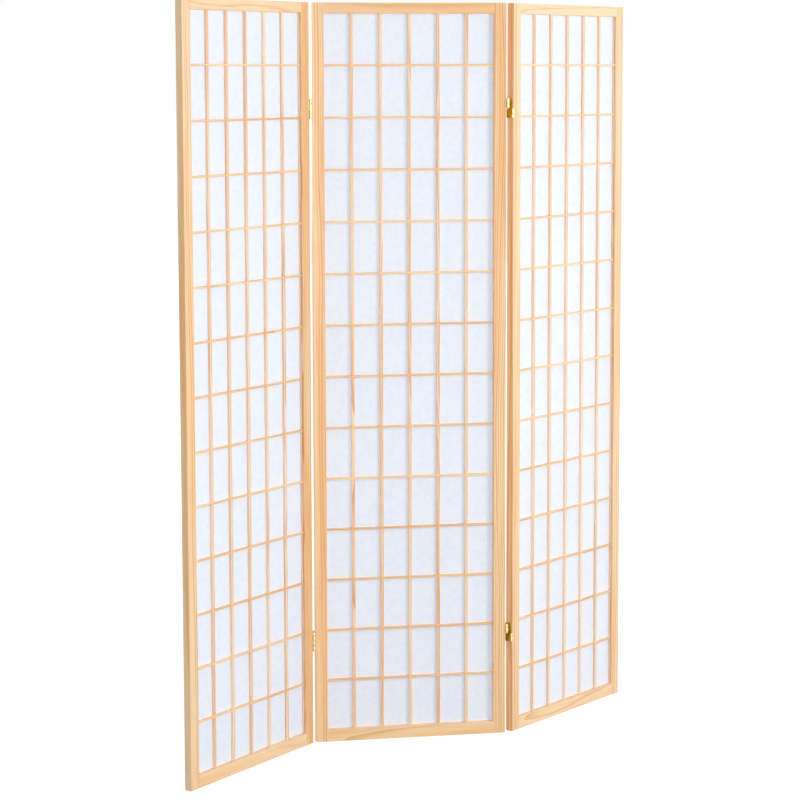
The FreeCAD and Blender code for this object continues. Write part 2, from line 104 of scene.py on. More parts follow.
def linear(red: int, green: int, blue: int) -> Colour:
    """Turn a colour as a screen shows it into the shaders' linear values.

    Args:
        red: the red part, 0 to 255.
        green: the green part.
        blue: the blue part.

    Returns:
        The same colour in linear values, 0 to 1.
    """
    def channel(value: int) -> float:
        """Turn one part into its linear value."""
        share = value / SCREEN_WHITE
        if share <= SCREEN_KNEE:
            return share / SCREEN_SLOPE
        return ((share + SCREEN_OFFSET) / (1 + SCREEN_OFFSET)) ** SCREEN_POWER
    return (channel(red), channel(green), channel(blue))


def corners(places: list[Vector]) -> tuple[Vector, Vector]:
    """Return the lowest and the highest corner of the box round some places."""
    return (Vector([min(place[axis] for place in places) for axis in range(3)]),
            Vector([max(place[axis] for place in places) for axis in range(3)]))


# ---------------------------------------------------------------------------
# Shader wiring
# ---------------------------------------------------------------------------
class Wiring:
    """A node tree being wired, with short calls for the nodes that these finishes use."""

    def __init__(self, tree: bpy.types.NodeTree) -> None:
        """Keep the tree that the nodes go into."""
        self.tree = tree

    def node(self, kind: str, **settings: object) -> bpy.types.Node:
        """Add a node.

        Args:
            kind: the node's type, without its ShaderNode prefix.
            settings: its own settings, such as operation or blend_type.

        Returns:
            The new node.
        """
        made = self.tree.nodes.new("ShaderNode" + kind)
        for name, value in settings.items():
            setattr(made, name, value)
        return made

    def feed(self, socket: bpy.types.NodeSocket, source: Source) -> None:
        """Give a socket its value.

        Args:
            socket: the input.
            source: the output to link to it, or the value to set.
        """
        if isinstance(source, bpy.types.NodeSocket):
            self.tree.links.new(source, socket)
        elif socket.type == "RGBA" and len(source) == COLOUR_CHANNELS:
            socket.default_value = (*source, 1.0)
        else:
            socket.default_value = source

    def feed_all(self, made: bpy.types.Node, sources: tuple[Source, ...]) -> None:
        """Give a node's first inputs their values, in order."""
        for socket, source in zip(made.inputs, sources):
            self.feed(socket, source)

    def math(self, operation: str, *sources: Source, clamp: bool = False) -> bpy.types.NodeSocket:
        """Add a Math node.

        Args:
            operation: its operation.
            sources: its inputs.
            clamp: whether the result stays within 0 and 1.

        Returns:
            Its result.
        """
        made = self.node("Math", operation=operation, use_clamp=clamp)
        self.feed_all(made, sources)
        return made.outputs[0]

    def vector(self, operation: str, *sources: Source) -> bpy.types.NodeSocket:
        """Add a Vector Math node.

        Args:
            operation: its operation.
            sources: its inputs.

        Returns:
            Its vector, or its value for a length.
        """
        made = self.node("VectorMath", operation=operation)
        self.feed_all(made, sources)
        return made.outputs["Value" if operation == "LENGTH" else "Vector"]

    def split(self, vector: Source) -> tuple[bpy.types.NodeSocket, ...]:
        """Take a vector apart.

        Args:
            vector: the vector.

        Returns:
            Its three parts.
        """
        made = self.node("SeparateXYZ")
        self.feed_all(made, (vector,))
        return tuple(made.outputs)

    def join(self, *parts: Source) -> bpy.types.NodeSocket:
        """Make a vector.

        Args:
            parts: its three parts.

        Returns:
            The vector.
        """
        made = self.node("CombineXYZ")
        self.feed_all(made, parts)
        return made.outputs[0]

    def noise(self, vector: Source, scale: Source, detail: float = 2.0,
              roughness: float = 0.5) -> bpy.types.NodeSocket:
        """Add a Noise Texture.

        Args:
            vector: the place that it reads.
            scale: how fine it is.
            detail: how many finer layers it has.
            roughness: how strong the finer layers are.

        Returns:
            Its value, 0 to 1 around a half.
        """
        made = self.node("TexNoise")
        self.feed(made.inputs["Vector"], vector)
        self.feed(made.inputs["Scale"], scale)
        made.inputs["Detail"].default_value = detail
        made.inputs["Roughness"].default_value = roughness
        return made.outputs[0]

    def band(self, value: Source, low: Source, high: Source, start: Source = 0.0,
             end: Source = 1.0) -> bpy.types.NodeSocket:
        """Map a value smoothly from one range onto another.

        Args:
            value: the value.
            low: where the first range starts.
            high: where the first range ends.
            start: the result at low and before it.
            end: the result at high and past it.

        Returns:
            The mapped value.
        """
        made = self.node("MapRange", interpolation_type="SMOOTHSTEP")
        self.feed_all(made, (value, low, high, start, end))
        return made.outputs[0]

    def mix(self, factor: Source, first: Source, second: Source,
            blend: str = "MIX") -> bpy.types.NodeSocket:
        """Add a colour Mix node.

        Args:
            factor: how much of the second colour shows.
            first: the first colour.
            second: the second colour.
            blend: how they blend.

        Returns:
            The mixed colour.
        """
        made = self.node("Mix", data_type="RGBA", blend_type=blend)
        made.clamp_result = True
        colours = [socket for socket in made.inputs if socket.type == "RGBA"]
        self.feed(made.inputs[0], factor)
        self.feed(colours[0], first)
        self.feed(colours[1], second)
        return next(socket for socket in made.outputs if socket.type == "RGBA")

    def attribute(self, name: str, output: str) -> bpy.types.NodeSocket:
        """Read one of the piece's own attributes."""
        return self.node("Attribute", attribute_name=name).outputs[output]

    def group(self, tree: bpy.types.NodeTree, **sources: Source) -> Sockets:
        """Place a node group.

        Args:
            tree: the group's tree.
            sources: its inputs, whose names have _ where their sockets have a space.

        Returns:
            Its outputs, by name.
        """
        made = self.node("Group", node_tree=tree)
        for name, source in sources.items():
            self.feed(made.inputs[name.replace("_", " ").title()], source)
        return {socket.name: socket for socket in made.outputs}


# ---------------------------------------------------------------------------
# Shared effects
# ---------------------------------------------------------------------------
@dataclass(frozen=True)
class GroupSocket:
    """One named input or output of a shared effect."""

    name: str
    kind: str = "Float"


@dataclass(frozen=True)
class SharedEffect:
    """A node group that materials share: built once, placed in each with its own values."""

    name: ClassVar[str]
    inputs: ClassVar[tuple[GroupSocket, ...]]
    outputs: ClassVar[tuple[GroupSocket, ...]]

    def tree(self) -> bpy.types.NodeTree:
        """Build the node group, or find it once it is built.

        Returns:
            The group's node tree.
        """
        found = bpy.data.node_groups.get(self.name)
        if found:
            return found
        tree = bpy.data.node_groups.new(self.name, "ShaderNodeTree")
        for direction, sockets in (("INPUT", self.inputs), ("OUTPUT", self.outputs)):
            for socket in sockets:
                tree.interface.new_socket(name=socket.name, in_out=direction,
                                          socket_type="NodeSocket" + socket.kind)
        start, end = tree.nodes.new("NodeGroupInput"), tree.nodes.new("NodeGroupOutput")
        self.wire(Wiring(tree), {s.name: s for s in start.outputs if s.name},
                  {s.name: s for s in end.inputs if s.name})
        return tree

    def wire(self, w: Wiring, given: Sockets, wanted: Sockets) -> None:
        """Wire the inside of the group.

        Args:
            w: the group's wiring.
            given: the group's inputs, by name.
            wanted: the group's outputs, by name.
        """
        raise NotImplementedError


@dataclass(frozen=True)
class PineFigure(SharedEffect):
    """Growth rings about the pith, fine streaks and slow drift, on a board's own place.

    Each stretch is how fine a pattern is across the grain and along it.
    """

    name: ClassVar[str] = "pine_figure"
    inputs: ClassVar[tuple[GroupSocket, ...]] = (
        GroupSocket("Board", "Vector"), GroupSocket("Tone"),
        GroupSocket("Early Wood", "Color"), GroupSocket("Late Wood", "Color"),
        GroupSocket("Honey", "Color"), GroupSocket("Honey Depth"),
        GroupSocket("Dark Board", "Color"), GroupSocket("Pale Board", "Color"),
        GroupSocket("Ring Width"), GroupSocket("Ring Depth"),
        GroupSocket("Streak Depth"), GroupSocket("Waviness"))
    outputs: ClassVar[tuple[GroupSocket, ...]] = (
        GroupSocket("Color", "Color"), GroupSocket("Height"), GroupSocket("Lateness"))

    wave: Stretch = (13.0, 1.7)
    ripple: Stretch = (70.0, 11.0)
    ripple_share: float = 0.09
    year_row: float = 3.7
    year_scale: float = 0.43
    year_spread: float = 2.6
    summer: Range = (0.12, 0.93)
    summer_curve: float = 1.6
    winter: Range = (1.0, 0.95)
    strength_row: float = 7.3
    strength_scale: float = 3.1
    strength: Range = (0.30, 0.68, 0.18, 1.0)
    streak: Stretch = (760.0, 9.0)
    streak_roughness: float = 0.62
    streak_shown: Range = (0.47, 0.74)
    cloud: Stretch = (52.0, 2.6)
    cloud_shown: Range = (0.46, 0.72, 0.0, 0.38)
    honey: Stretch = (30.0, 1.1)
    honey_offset: Place = (5.0, 2.0, 8.0)
    honey_shown: Range = (0.40, 0.66, 0.0)
    relief: tuple[float, float] = (0.6, 0.4)

    def wire(self, w: Wiring, given: Sockets, wanted: Sockets) -> None:
        """Wire rings, streaks, clouds and honey-coloured patches.

        Args:
            w: the group's wiring.
            given: the group's inputs, by name.
            wanted: the group's outputs, by name.
        """
        across, depth, _ = w.split(given["Board"])
        waviness = given["Waviness"]

        def stretched(stretch: Stretch) -> bpy.types.NodeSocket:
            """Return the board's place, scaled across and along the grain."""
            return w.vector("MULTIPLY", given["Board"], (stretch[0], stretch[0], stretch[1]))

        wave = w.math("SUBTRACT", w.noise(stretched(self.wave), 1.0, 1.0), 0.5)
        ripple = w.math("SUBTRACT", w.noise(stretched(self.ripple), 1.0, 2.0), 0.5)
        shift = w.math("ADD", w.math("MULTIPLY", wave, waviness), w.math(
            "MULTIPLY", ripple, w.math("MULTIPLY", waviness, self.ripple_share)))
        radius = w.math("ADD", w.vector("LENGTH", w.join(across, depth, 0.0)), shift)
        years = w.math("DIVIDE", radius, given["Ring Width"])
        uneven = w.noise(w.join(years, self.year_row, 0.0), self.year_scale, 1.0)
        years = w.math("ADD", years, w.math("MULTIPLY", uneven, self.year_spread))
        year = w.math("FRACT", years)
        rise = w.math("POWER", w.band(year, *self.summer), self.summer_curve)
        late = w.math("MULTIPLY", rise, w.band(year, *self.winter))
        strength = w.noise(w.join(w.math("FLOOR", years), self.strength_row, 0.0),
                           self.strength_scale, 0.0)
        late = w.math("MULTIPLY", late, w.band(strength, *self.strength))
        streak = w.noise(stretched(self.streak), 1.0, 3.0, self.streak_roughness)
        cloud = w.noise(stretched(self.cloud), 1.0, 2.0)
        honey = w.noise(w.vector("ADD", stretched(self.honey), self.honey_offset), 1.0, 1.0)
        wood = w.mix(w.band(honey, *self.honey_shown, given["Honey Depth"]),
                     given["Early Wood"], given["Honey"])
        wood = w.mix(w.math("MULTIPLY", late, given["Ring Depth"]), wood, given["Late Wood"])
        dark_streak = w.math("MULTIPLY", w.band(streak, *self.streak_shown),
                             given["Streak Depth"])
        wood = w.mix(dark_streak, wood, given["Late Wood"])
        wood = w.mix(w.band(cloud, *self.cloud_shown), wood, given["Early Wood"])
        # Partly real board colour, which differs at random, and partly painted light and shade
        # set for each panel.
        tone = w.math("ADD", w.math("MULTIPLY", given["Tone"], 0.5), 0.5, clamp=True)
        shade = w.mix(tone, given["Dark Board"], given["Pale Board"])
        w.feed(wanted["Color"], w.mix(1.0, wood, shade, "MULTIPLY"))
        w.feed(wanted["Height"], w.math("ADD", w.math("MULTIPLY", streak, self.relief[0]),
                                        w.math("MULTIPLY", late, self.relief[1])))
        w.feed(wanted["Lateness"], late)


@dataclass(frozen=True)
class PinKnots(SharedEffect):
    """Small knots, one here and there along a board, each with a soft dark ring."""

    name: ClassVar[str] = "pin_knots"
    inputs: ClassVar[tuple[GroupSocket, ...]] = (
        GroupSocket("Board", "Vector"), GroupSocket("Radius"), GroupSocket("Rarity"))
    outputs: ClassVar[tuple[GroupSocket, ...]] = (GroupSocket("Core"), GroupSocket("Halo"))

    cell: Place = (0.034, 0.034, 0.31)
    length: Place = (1.0, 1.0, 0.55)
    core_share: float = 0.35
    halo_share: float = 2.6

    def wire(self, w: Wiring, given: Sockets, wanted: Sockets) -> None:
        """Wire one knot to a cell, in some of the cells.

        Args:
            w: the group's wiring.
            given: the group's inputs, by name.
            wanted: the group's outputs, by name.
        """
        radius = given["Radius"]
        scaled = w.vector("DIVIDE", given["Board"], self.cell)
        cells = w.node("TexVoronoi", feature="F1")
        w.feed(cells.inputs["Vector"], scaled)
        cells.inputs["Scale"].default_value = 1.0
        away = w.vector("SUBTRACT", scaled, cells.outputs["Position"])
        away = w.vector("MULTIPLY", away, self.cell)
        distance = w.vector("LENGTH", w.vector("MULTIPLY", away, self.length))
        chosen = w.math("GREATER_THAN", w.split(cells.outputs["Color"])[0], given["Rarity"])
        core = w.band(distance, radius, w.math("MULTIPLY", radius, self.core_share))
        halo = w.band(distance, w.math("MULTIPLY", radius, self.halo_share), radius)
        w.feed(wanted["Core"], w.math("MULTIPLY", core, chosen))
        w.feed(wanted["Halo"], w.math("MULTIPLY", halo, chosen))


@dataclass(frozen=True)
class SandedArris(SharedEffect):
    """Where the sander broke a board's long edges: patchy, a little paler and duller."""

    name: ClassVar[str] = "sanded_arris"
    inputs: ClassVar[tuple[GroupSocket, ...]] = (
        GroupSocket("Place", "Vector"), GroupSocket("Arris"), GroupSocket("Patch Scale"),
        GroupSocket("Amount"))
    outputs: ClassVar[tuple[GroupSocket, ...]] = (GroupSocket("Mask"),)

    patches: Range = (0.34, 0.62, 0.45, 1.0)

    def wire(self, w: Wiring, given: Sockets, wanted: Sockets) -> None:
        """Wire the mask of the sanded edges.

        Args:
            w: the group's wiring.
            given: the group's inputs, by name.
            wanted: the group's outputs, by name.
        """
        patch = w.noise(given["Place"], given["Patch Scale"], 2.0)
        worn = w.math("MULTIPLY", w.band(patch, *self.patches), given["Arris"])
        w.feed(wanted["Mask"], w.math("MULTIPLY", worn, given["Amount"]))


@dataclass(frozen=True)
class PulpFibres(SharedEffect):
    """Clouds of thicker pulp and long crossing fibres in a sheet of paper."""

    name: ClassVar[str] = "pulp_fibres"
    inputs: ClassVar[tuple[GroupSocket, ...]] = (
        GroupSocket("Place", "Vector"), GroupSocket("Cloud Scale"), GroupSocket("Fibre Scale"))
    outputs: ClassVar[tuple[GroupSocket, ...]] = (
        GroupSocket("Cloud"), GroupSocket("Fibre"), GroupSocket("Height"))

    cloud_roughness: float = 0.6
    fine_clouds: float = 7.0
    layers: tuple[Stretch, ...] = ((0.0, 1.0), (1.1, 1.35), (2.3, 0.8))
    layer_step: Place = (1.0, 1.7, 0.6)
    fibre_roughness: float = 0.4
    fibre_width: float = 0.010
    gap_scale: float = 95.0
    gaps: Range = (0.40, 0.62)
    cloud_mix: tuple[float, float] = (0.72, 0.28)
    cloud_shown: Range = (0.32, 0.68)
    relief: tuple[float, float] = (0.7, 0.5)

    def wire(self, w: Wiring, given: Sockets, wanted: Sockets) -> None:
        """Wire the clouds and three crossing layers of fibres.

        Args:
            w: the group's wiring.
            given: the group's inputs, by name.
            wanted: the group's outputs, by name.
        """
        place, scale = given["Place"], given["Cloud Scale"]
        clouds = w.noise(place, scale, 3.0, self.cloud_roughness)
        fine = w.noise(place, w.math("MULTIPLY", scale, self.fine_clouds), 2.0,
                       self.cloud_roughness)
        fibres = None
        for offset, size in self.layers:
            moved = w.vector("ADD", place, tuple(offset * step for step in self.layer_step))
            swirl = w.noise(moved, w.math("MULTIPLY", given["Fibre Scale"], size), 1.0,
                            self.fibre_roughness)
            away = w.math("ABSOLUTE", w.math("SUBTRACT", swirl, 0.5))
            ridge = w.band(away, self.fibre_width, 0.0)
            fibres = ridge if fibres is None else w.math("MAXIMUM", fibres, ridge)
        broken = w.band(w.noise(place, self.gap_scale, 1.0), *self.gaps)
        fibres = w.math("MULTIPLY", fibres, broken)
        mixed = w.math("ADD", w.math("MULTIPLY", clouds, self.cloud_mix[0]),
                       w.math("MULTIPLY", fine, self.cloud_mix[1]))
        w.feed(wanted["Cloud"], w.band(mixed, *self.cloud_shown))
        w.feed(wanted["Fibre"], fibres)
        w.feed(wanted["Height"], w.math("ADD", w.math("MULTIPLY", fibres, self.relief[0]),
                                        w.math("MULTIPLY", fine, self.relief[1])))


@dataclass(frozen=True)
class HandledMetal(SharedEffect):
    """Fine rubbing marks, small dents and thin uneven darker mottles on plated sheet metal:
    partly tarnishing, partly painted dark reflection.
    """

    name: ClassVar[str] = "handled_metal"
    inputs: ClassVar[tuple[GroupSocket, ...]] = (GroupSocket("Place", "Vector"),
                                                 GroupSocket("Age"))
    outputs: ClassVar[tuple[GroupSocket, ...]] = (
        GroupSocket("Tarnishing And Reflection"), GroupSocket("Dullness"), GroupSocket("Height"))

    rub_length: Place = (1.0, 1.0, 0.06)
    rub_scale: float = 5200.0
    rub_roughness: float = 0.7
    cloud_scale: float = 210.0
    cloud_roughness: float = 0.6
    dent_scale: float = 900.0
    tarnished_and_reflecting: Range = (0.42, 0.70)
    dullness: tuple[float, float] = (0.16, 0.12)
    rub_relief: float = 0.35

    def wire(self, w: Wiring, given: Sockets, wanted: Sockets) -> None:
        """Wire rubbing marks, the darker mottles, which are partly painted dark reflection, and
        dents.

        Args:
            w: the group's wiring.
            given: the group's inputs, by name.
            wanted: the group's outputs, by name.
        """
        place = given["Place"]
        rubs = w.noise(w.vector("MULTIPLY", place, self.rub_length), self.rub_scale, 3.0,
                       self.rub_roughness)
        cloud = w.noise(place, self.cloud_scale, 3.0, self.cloud_roughness)
        dents = w.noise(place, self.dent_scale, 1.0)
        # Painted dark reflection as well as tarnishing: these darker mottles stand partly for
        # dark reflections in the plated metal.
        w.feed(wanted["Tarnishing And Reflection"],
               w.math("MULTIPLY", w.band(cloud, *self.tarnished_and_reflecting), given["Age"]))
        w.feed(wanted["Dullness"], w.math("ADD", w.math("MULTIPLY", rubs, self.dullness[0]),
                                          w.math("MULTIPLY", cloud, self.dullness[1])))
        w.feed(wanted["Height"],
               w.math("ADD", w.math("MULTIPLY", rubs, self.rub_relief), dents))


# ---------------------------------------------------------------------------
# Finishes
# ---------------------------------------------------------------------------
def new_material(name: str) -> tuple[bpy.types.Material, Wiring, bpy.types.Node]:
    """Start a material.

    Args:
        name: its name.

    Returns:
        The material, its wiring and its Principled BSDF.
    """
    material = bpy.data.materials.new(name)
    material.use_nodes = True
    shader = material.node_tree.nodes["Principled BSDF"]
    return material, Wiring(material.node_tree), shader


def add_bump(w: Wiring, shader: bpy.types.Node, height: Source,
             relief: tuple[float, float]) -> None:
    """Raise a surface.

    Args:
        w: the material's wiring.
        shader: its Principled BSDF.
        height: how high each point is, 0 to 1.
        relief: the depth of the relief in metres, and its strength.
    """
    bump = w.node("Bump")
    bump.inputs["Distance"].default_value, bump.inputs["Strength"].default_value = relief
    w.feed(bump.inputs["Height"], height)
    w.feed(shader.inputs["Normal"], bump.outputs["Normal"])


@dataclass(frozen=True)
class PineFinish:
    """Satin clear finish on pale pine."""

    name: str
    early_wood: Colour = linear(255, 229, 186)
    late_wood: Colour = linear(219, 148, 82)
    honey: Colour = linear(250, 204, 142)
    honey_depth: float = 0.75
    # Painted shade and light as well as real board colour: each board is mixed between these two
    # by a random difference and by its panel's painted light level.
    dark_board: Colour = (0.95, 0.82, 0.66)
    pale_board: Colour = WHITE
    ring_width: float = 0.0050
    ring_depth: float = 0.76
    streak_depth: float = 0.44
    waviness: float = 0.030
    knot_radius: float = 0.0015
    knot_rarity: float = 0.72
    knot_colour: Colour = linear(128, 78, 42)
    halo_depth: float = 0.35
    arris_colour: Colour = linear(255, 232, 200)
    arris_scale: float = 60.0
    arris_amount: float = 0.55
    arris_dullness: float = 0.15
    late_dullness: float = -0.08
    roughness: float = 0.40
    specular: float = 0.5
    relief: tuple[float, float] = (0.00006, 0.5)

    def build(self) -> bpy.types.Material:
        """Make the material, which reads the attributes of each board.

        Returns:
            The material.
        """
        material, w, shader = new_material(self.name)
        board = w.attribute(BOARD_ATTRIBUTE, "Vector")
        figure = w.group(
            PineFigure().tree(), board=board, tone=w.attribute(TONE_AND_LIGHT_ATTRIBUTE, "Fac"),
            early_wood=self.early_wood, late_wood=self.late_wood, honey=self.honey,
            honey_depth=self.honey_depth, dark_board=self.dark_board,
            pale_board=self.pale_board, ring_width=self.ring_width, ring_depth=self.ring_depth,
            streak_depth=self.streak_depth, waviness=self.waviness)
        knots = w.group(PinKnots().tree(), board=board, radius=self.knot_radius,
                        rarity=self.knot_rarity)
        arris = w.group(SandedArris().tree(), place=board,
                        arris=w.attribute(ARRIS_ATTRIBUTE, "Fac"),
                        patch_scale=self.arris_scale, amount=self.arris_amount)
        halo = w.math("MULTIPLY", knots["Halo"], self.halo_depth)
        colour = w.mix(halo, figure["Color"], self.late_wood)
        colour = w.mix(knots["Core"], colour, self.knot_colour)
        colour = w.mix(arris["Mask"], colour, self.arris_colour)
        w.feed(shader.inputs["Base Color"], colour)
        duller = w.math("MULTIPLY", arris["Mask"], self.arris_dullness)
        gloss = w.math("MULTIPLY", figure["Lateness"], self.late_dullness)
        w.feed(shader.inputs["Roughness"],
               w.math("ADD", w.math("ADD", duller, gloss), self.roughness))
        shader.inputs["Specular IOR Level"].default_value = self.specular
        add_bump(w, shader, figure["Height"], self.relief)
        return material


@dataclass(frozen=True)
class PaperFinish:
    """White mulberry paper: cloudy pulp with long fibres, and light through it."""

    name: str
    thin: Colour = linear(234, 241, 255)
    thick: Colour = linear(240, 246, 255)
    fibre: Colour = linear(250, 252, 255)
    cloud_scale: float = 85.0
    fibre_scale: float = 58.0
    fibre_depth: float = 0.6
    fibre_dullness: float = -0.12
    roughness: float = 0.86
    specular: float = 0.2
    light_through: float = 0.4
    light_spread: Colour = (1.0, 0.8, 0.45)
    light_reach: float = 0.0006
    relief: tuple[float, float] = (0.00010, 0.6)

    def build(self) -> bpy.types.Material:
        """Make the material, which reads the sheet's own place.

        Returns:
            The material.
        """
        material, w, shader = new_material(self.name)
        pulp = w.group(PulpFibres().tree(), place=w.node("TexCoord").outputs["Object"],
                       cloud_scale=self.cloud_scale, fibre_scale=self.fibre_scale)
        colour = w.mix(pulp["Cloud"], self.thin, self.thick)
        fibres = w.math("MULTIPLY", pulp["Fibre"], self.fibre_depth)
        w.feed(shader.inputs["Base Color"], w.mix(fibres, colour, self.fibre))
        gloss = w.math("MULTIPLY", pulp["Fibre"], self.fibre_dullness)
        w.feed(shader.inputs["Roughness"], w.math("ADD", gloss, self.roughness))
        shader.inputs["Specular IOR Level"].default_value = self.specular
        shader.inputs["Subsurface Weight"].default_value = self.light_through
        shader.inputs["Subsurface Radius"].default_value = self.light_spread
        shader.inputs["Subsurface Scale"].default_value = self.light_reach
        add_bump(w, shader, pulp["Height"], self.relief)
        return material


@dataclass(frozen=True)
class MetalFinish:
    """Plated sheet metal or wire, with light tarnishing mottles that are partly painted dark
    reflection, worn edges and a painted highlight on rolled eyes.
    """

    name: str
    bright: Colour
    tarnished_and_reflecting: Colour
    # Pale metal on worn edges, and the painted highlight on the rolled eyes.
    rubbed_and_glint: Colour
    roughness: float = 0.20
    age: float = 0.5
    # Worn edges and the eyes with the painted highlight are kept clear of the darker mottles.
    arris_cleaned: float = 0.7
    tarnish_dullness: float = 0.18
    rub_shown: Range = (0.20, 0.10, 0.35, 0.9)
    relief: tuple[float, float] = (0.00002, 0.35)

    def build(self) -> bpy.types.Material:
        """Make the material, which reads the piece's own place.

        Returns:
            The material.
        """
        material, w, shader = new_material(self.name)
        wear = w.group(HandledMetal().tree(), place=w.node("TexCoord").outputs["Object"],
                       age=self.age)
        arris = w.attribute(ARRIS_ATTRIBUTE, "Fac")
        tarnishing_and_reflection = w.math("SUBTRACT", wear["Tarnishing And Reflection"],
                         w.math("MULTIPLY", arris, self.arris_cleaned), clamp=True)
        # Worn edges, and the painted highlight on the rolled eyes, both read from the arris
        # attribute.
        rub_and_glint = w.math("MULTIPLY", arris, w.band(wear["Dullness"], *self.rub_shown))
        # Darker mottles: partly tarnishing, partly painted dark reflection.
        colour = w.mix(tarnishing_and_reflection, self.bright, self.tarnished_and_reflecting)
        w.feed(shader.inputs["Base Color"], w.mix(rub_and_glint, colour, self.rubbed_and_glint))
        duller = w.math("ADD", wear["Dullness"],
                        w.math("MULTIPLY", tarnishing_and_reflection, self.tarnish_dullness))
        w.feed(shader.inputs["Roughness"], w.math("ADD", duller, self.roughness))
        shader.inputs["Metallic"].default_value = 1.0
        add_bump(w, shader, wear["Height"], self.relief)
        return material


@dataclass(frozen=True)
class Finishes:
    """The material of every kind of piece."""

    stile: bpy.types.Material
    rail: bpy.types.Material
    upright: bpy.types.Material
    cross: bpy.types.Material
    bead: bpy.types.Material
    paper: bpy.types.Material
    leaf: bpy.types.Material
    link: bpy.types.Material
    pin: bpy.types.Material
    screw: bpy.types.Material

    @classmethod
    def build(cls) -> "Finishes":
        """Make all materials.

        Returns:
            The finishes.
        """
        # The aged colour is partly tarnishing and partly painted dark reflection.
        brass, aged_and_reflecting_brass = linear(216, 184, 86), linear(136, 112, 38)
        # Pale metal on worn edges, and the painted highlight on the rolled eyes.
        pale_brass = linear(238, 232, 208)
        made = {
            "stile": PineFinish("stile_pine"),
            "rail": PineFinish("rail_pine", ring_width=0.0056, ring_depth=0.74),
            "upright": PineFinish("upright_pine", early_wood=linear(255, 234, 210),
                                  honey=linear(248, 213, 178), ring_width=0.0042,
                                  knot_rarity=0.9, knot_radius=0.0011),
            "cross": PineFinish("cross_pine", ring_width=0.0042, knot_rarity=0.92,
                                knot_radius=0.0010),
            "bead": PineFinish("bead_pine", ring_width=0.0046, knot_rarity=0.85),
            "paper": PaperFinish("shoji_paper"),
            "leaf": MetalFinish("leaf_brass", brass, aged_and_reflecting_brass, pale_brass, age=0.8),
            "link": MetalFinish("link_brass", brass, aged_and_reflecting_brass, pale_brass, roughness=0.16,
                                age=0.7),
            # Dark steel, painted darker still: painted shade for the shadow in the openings of
            # the hinge eyes.
            "pin": MetalFinish("pin_steel", linear(84, 74, 56), linear(52, 44, 30),
                               linear(120, 112, 94), age=0.6),
            "screw": MetalFinish("screw_brass", linear(214, 188, 104), aged_and_reflecting_brass, pale_brass,
                                 age=0.6)}
        return cls(**{kind: finish.build() for kind, finish in made.items()})


# ---------------------------------------------------------------------------
# Mesh work
# ---------------------------------------------------------------------------
class Shading(Enum):
    """How a finished mesh is shaded."""

    FLAT = "flat"
    ROUND = "round"


@dataclass
class Workpiece:
    """A mesh on the bench: a copy of one frame node, or a new form, made into a piece."""

    mesh: bmesh.types.BMesh

    @classmethod
    def copy_of(cls, node: bpy.types.Object) -> "Workpiece":
        """Copy a frame node's loose triangles, merge them and clear its flat faces.

        Args:
            node: the frame's object, whose own mesh stays as it is.

        Returns:
            The copy, with its flat faces whole.
        """
        mesh = bmesh.new()
        mesh.from_mesh(node.data)
        bmesh.ops.remove_doubles(mesh, verts=mesh.verts, dist=MERGE_DISTANCE)
        bmesh.ops.dissolve_limit(mesh, angle_limit=FLAT_ANGLE, verts=mesh.verts,
                                 edges=mesh.edges, delimit=set())
        mesh.normal_update()
        return cls(mesh)

    def solids(self) -> list[list[bmesh.types.BMVert]]:
        """Find the separate solids.

        Returns:
            The vertices of each solid.
        """
        seen: set[bmesh.types.BMVert] = set()
        found = []
        for start in self.mesh.verts:
            if start in seen:
                continue
            seen.add(start)
            solid, waiting = [], [start]
            while waiting:
                vertex = waiting.pop()
                solid.append(vertex)
                for edge in vertex.link_edges:
                    other = edge.other_vert(vertex)
                    if other not in seen:
                        seen.add(other)
                        waiting.append(other)
            found.append(solid)
        return found

    def sharp_edges(self, angle: float) -> list[bmesh.types.BMEdge]:
        """Return the edges that stand out at more than the angle."""
        return [edge for edge in self.mesh.edges
                if len(edge.link_faces) == 2 and edge.calc_face_angle_signed(0.0) > angle]

    def break_edges(self, edges: list[bmesh.types.BMEdge], width: float, segments: int) -> None:
        """Round edges over and mark the new faces.

        Args:
            edges: the edges to round.
            width: how far the round reaches into each face, in metres.
            segments: how many faces make the round.
        """
        layer = self.mesh.faces.layers.float.new(ARRIS_ATTRIBUTE)
        made = bmesh.ops.bevel(
            self.mesh, geom=edges, offset=width, offset_type="OFFSET", affect="EDGES",
            segments=segments, profile=0.5, material=-1, clamp_overlap=True)
        for face in made["faces"]:
            face[layer] = 1.0

    def paint_eye_glint(self, amount: float) -> None:
        """Mark the faces of rolled eyes for a painted highlight, which the metal finish shows as
        pale metal in place of the eyes' glint.

        Args:
            amount: how pale the painted highlight is, 0 to 1.
        """
        layer = self.mesh.faces.layers.float[ARRIS_ATTRIBUTE]
        for face in self.mesh.faces:
            bends = sum(CURVE_BEND[0] < abs(edge.calc_face_angle(0.0)) < CURVE_BEND[1]
                        for edge in face.edges)
            if bends > 1:
                face[layer] = amount

    def finish(self, name: str, material: bpy.types.Material,
               shading: Shading) -> bpy.types.Object:
        """Turn the mesh into an object at the origin.

        Args:
            name: the piece's name.
            material: its finish.
            shading: flat, or round with sharp edges kept.

        Returns:
            The new object.
        """
        data = bpy.data.meshes.new(name)
        self.mesh.to_mesh(data)
        self.mesh.free()
        data.materials.append(material)
        if shading is Shading.ROUND:
            data.shade_smooth()
            data.set_sharp_from_angle(angle=SHARP_ANGLE)
        else:
            data.shade_flat()
        piece = bpy.data.objects.new(name, data)
        bpy.context.scene.collection.objects.link(piece)
        return piece


def seat(piece: bpy.types.Object, node: str, body: str) -> None:
    """Let a piece ride on its body and stand for its node.

    Args:
        piece: the piece.
        node: the frame's node that it stands for.
        body: the body that it rides on.
    """
    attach(piece, body)
    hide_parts(node)
    LOG.info("%s rides on %s in place of %s", piece.name, body, node)


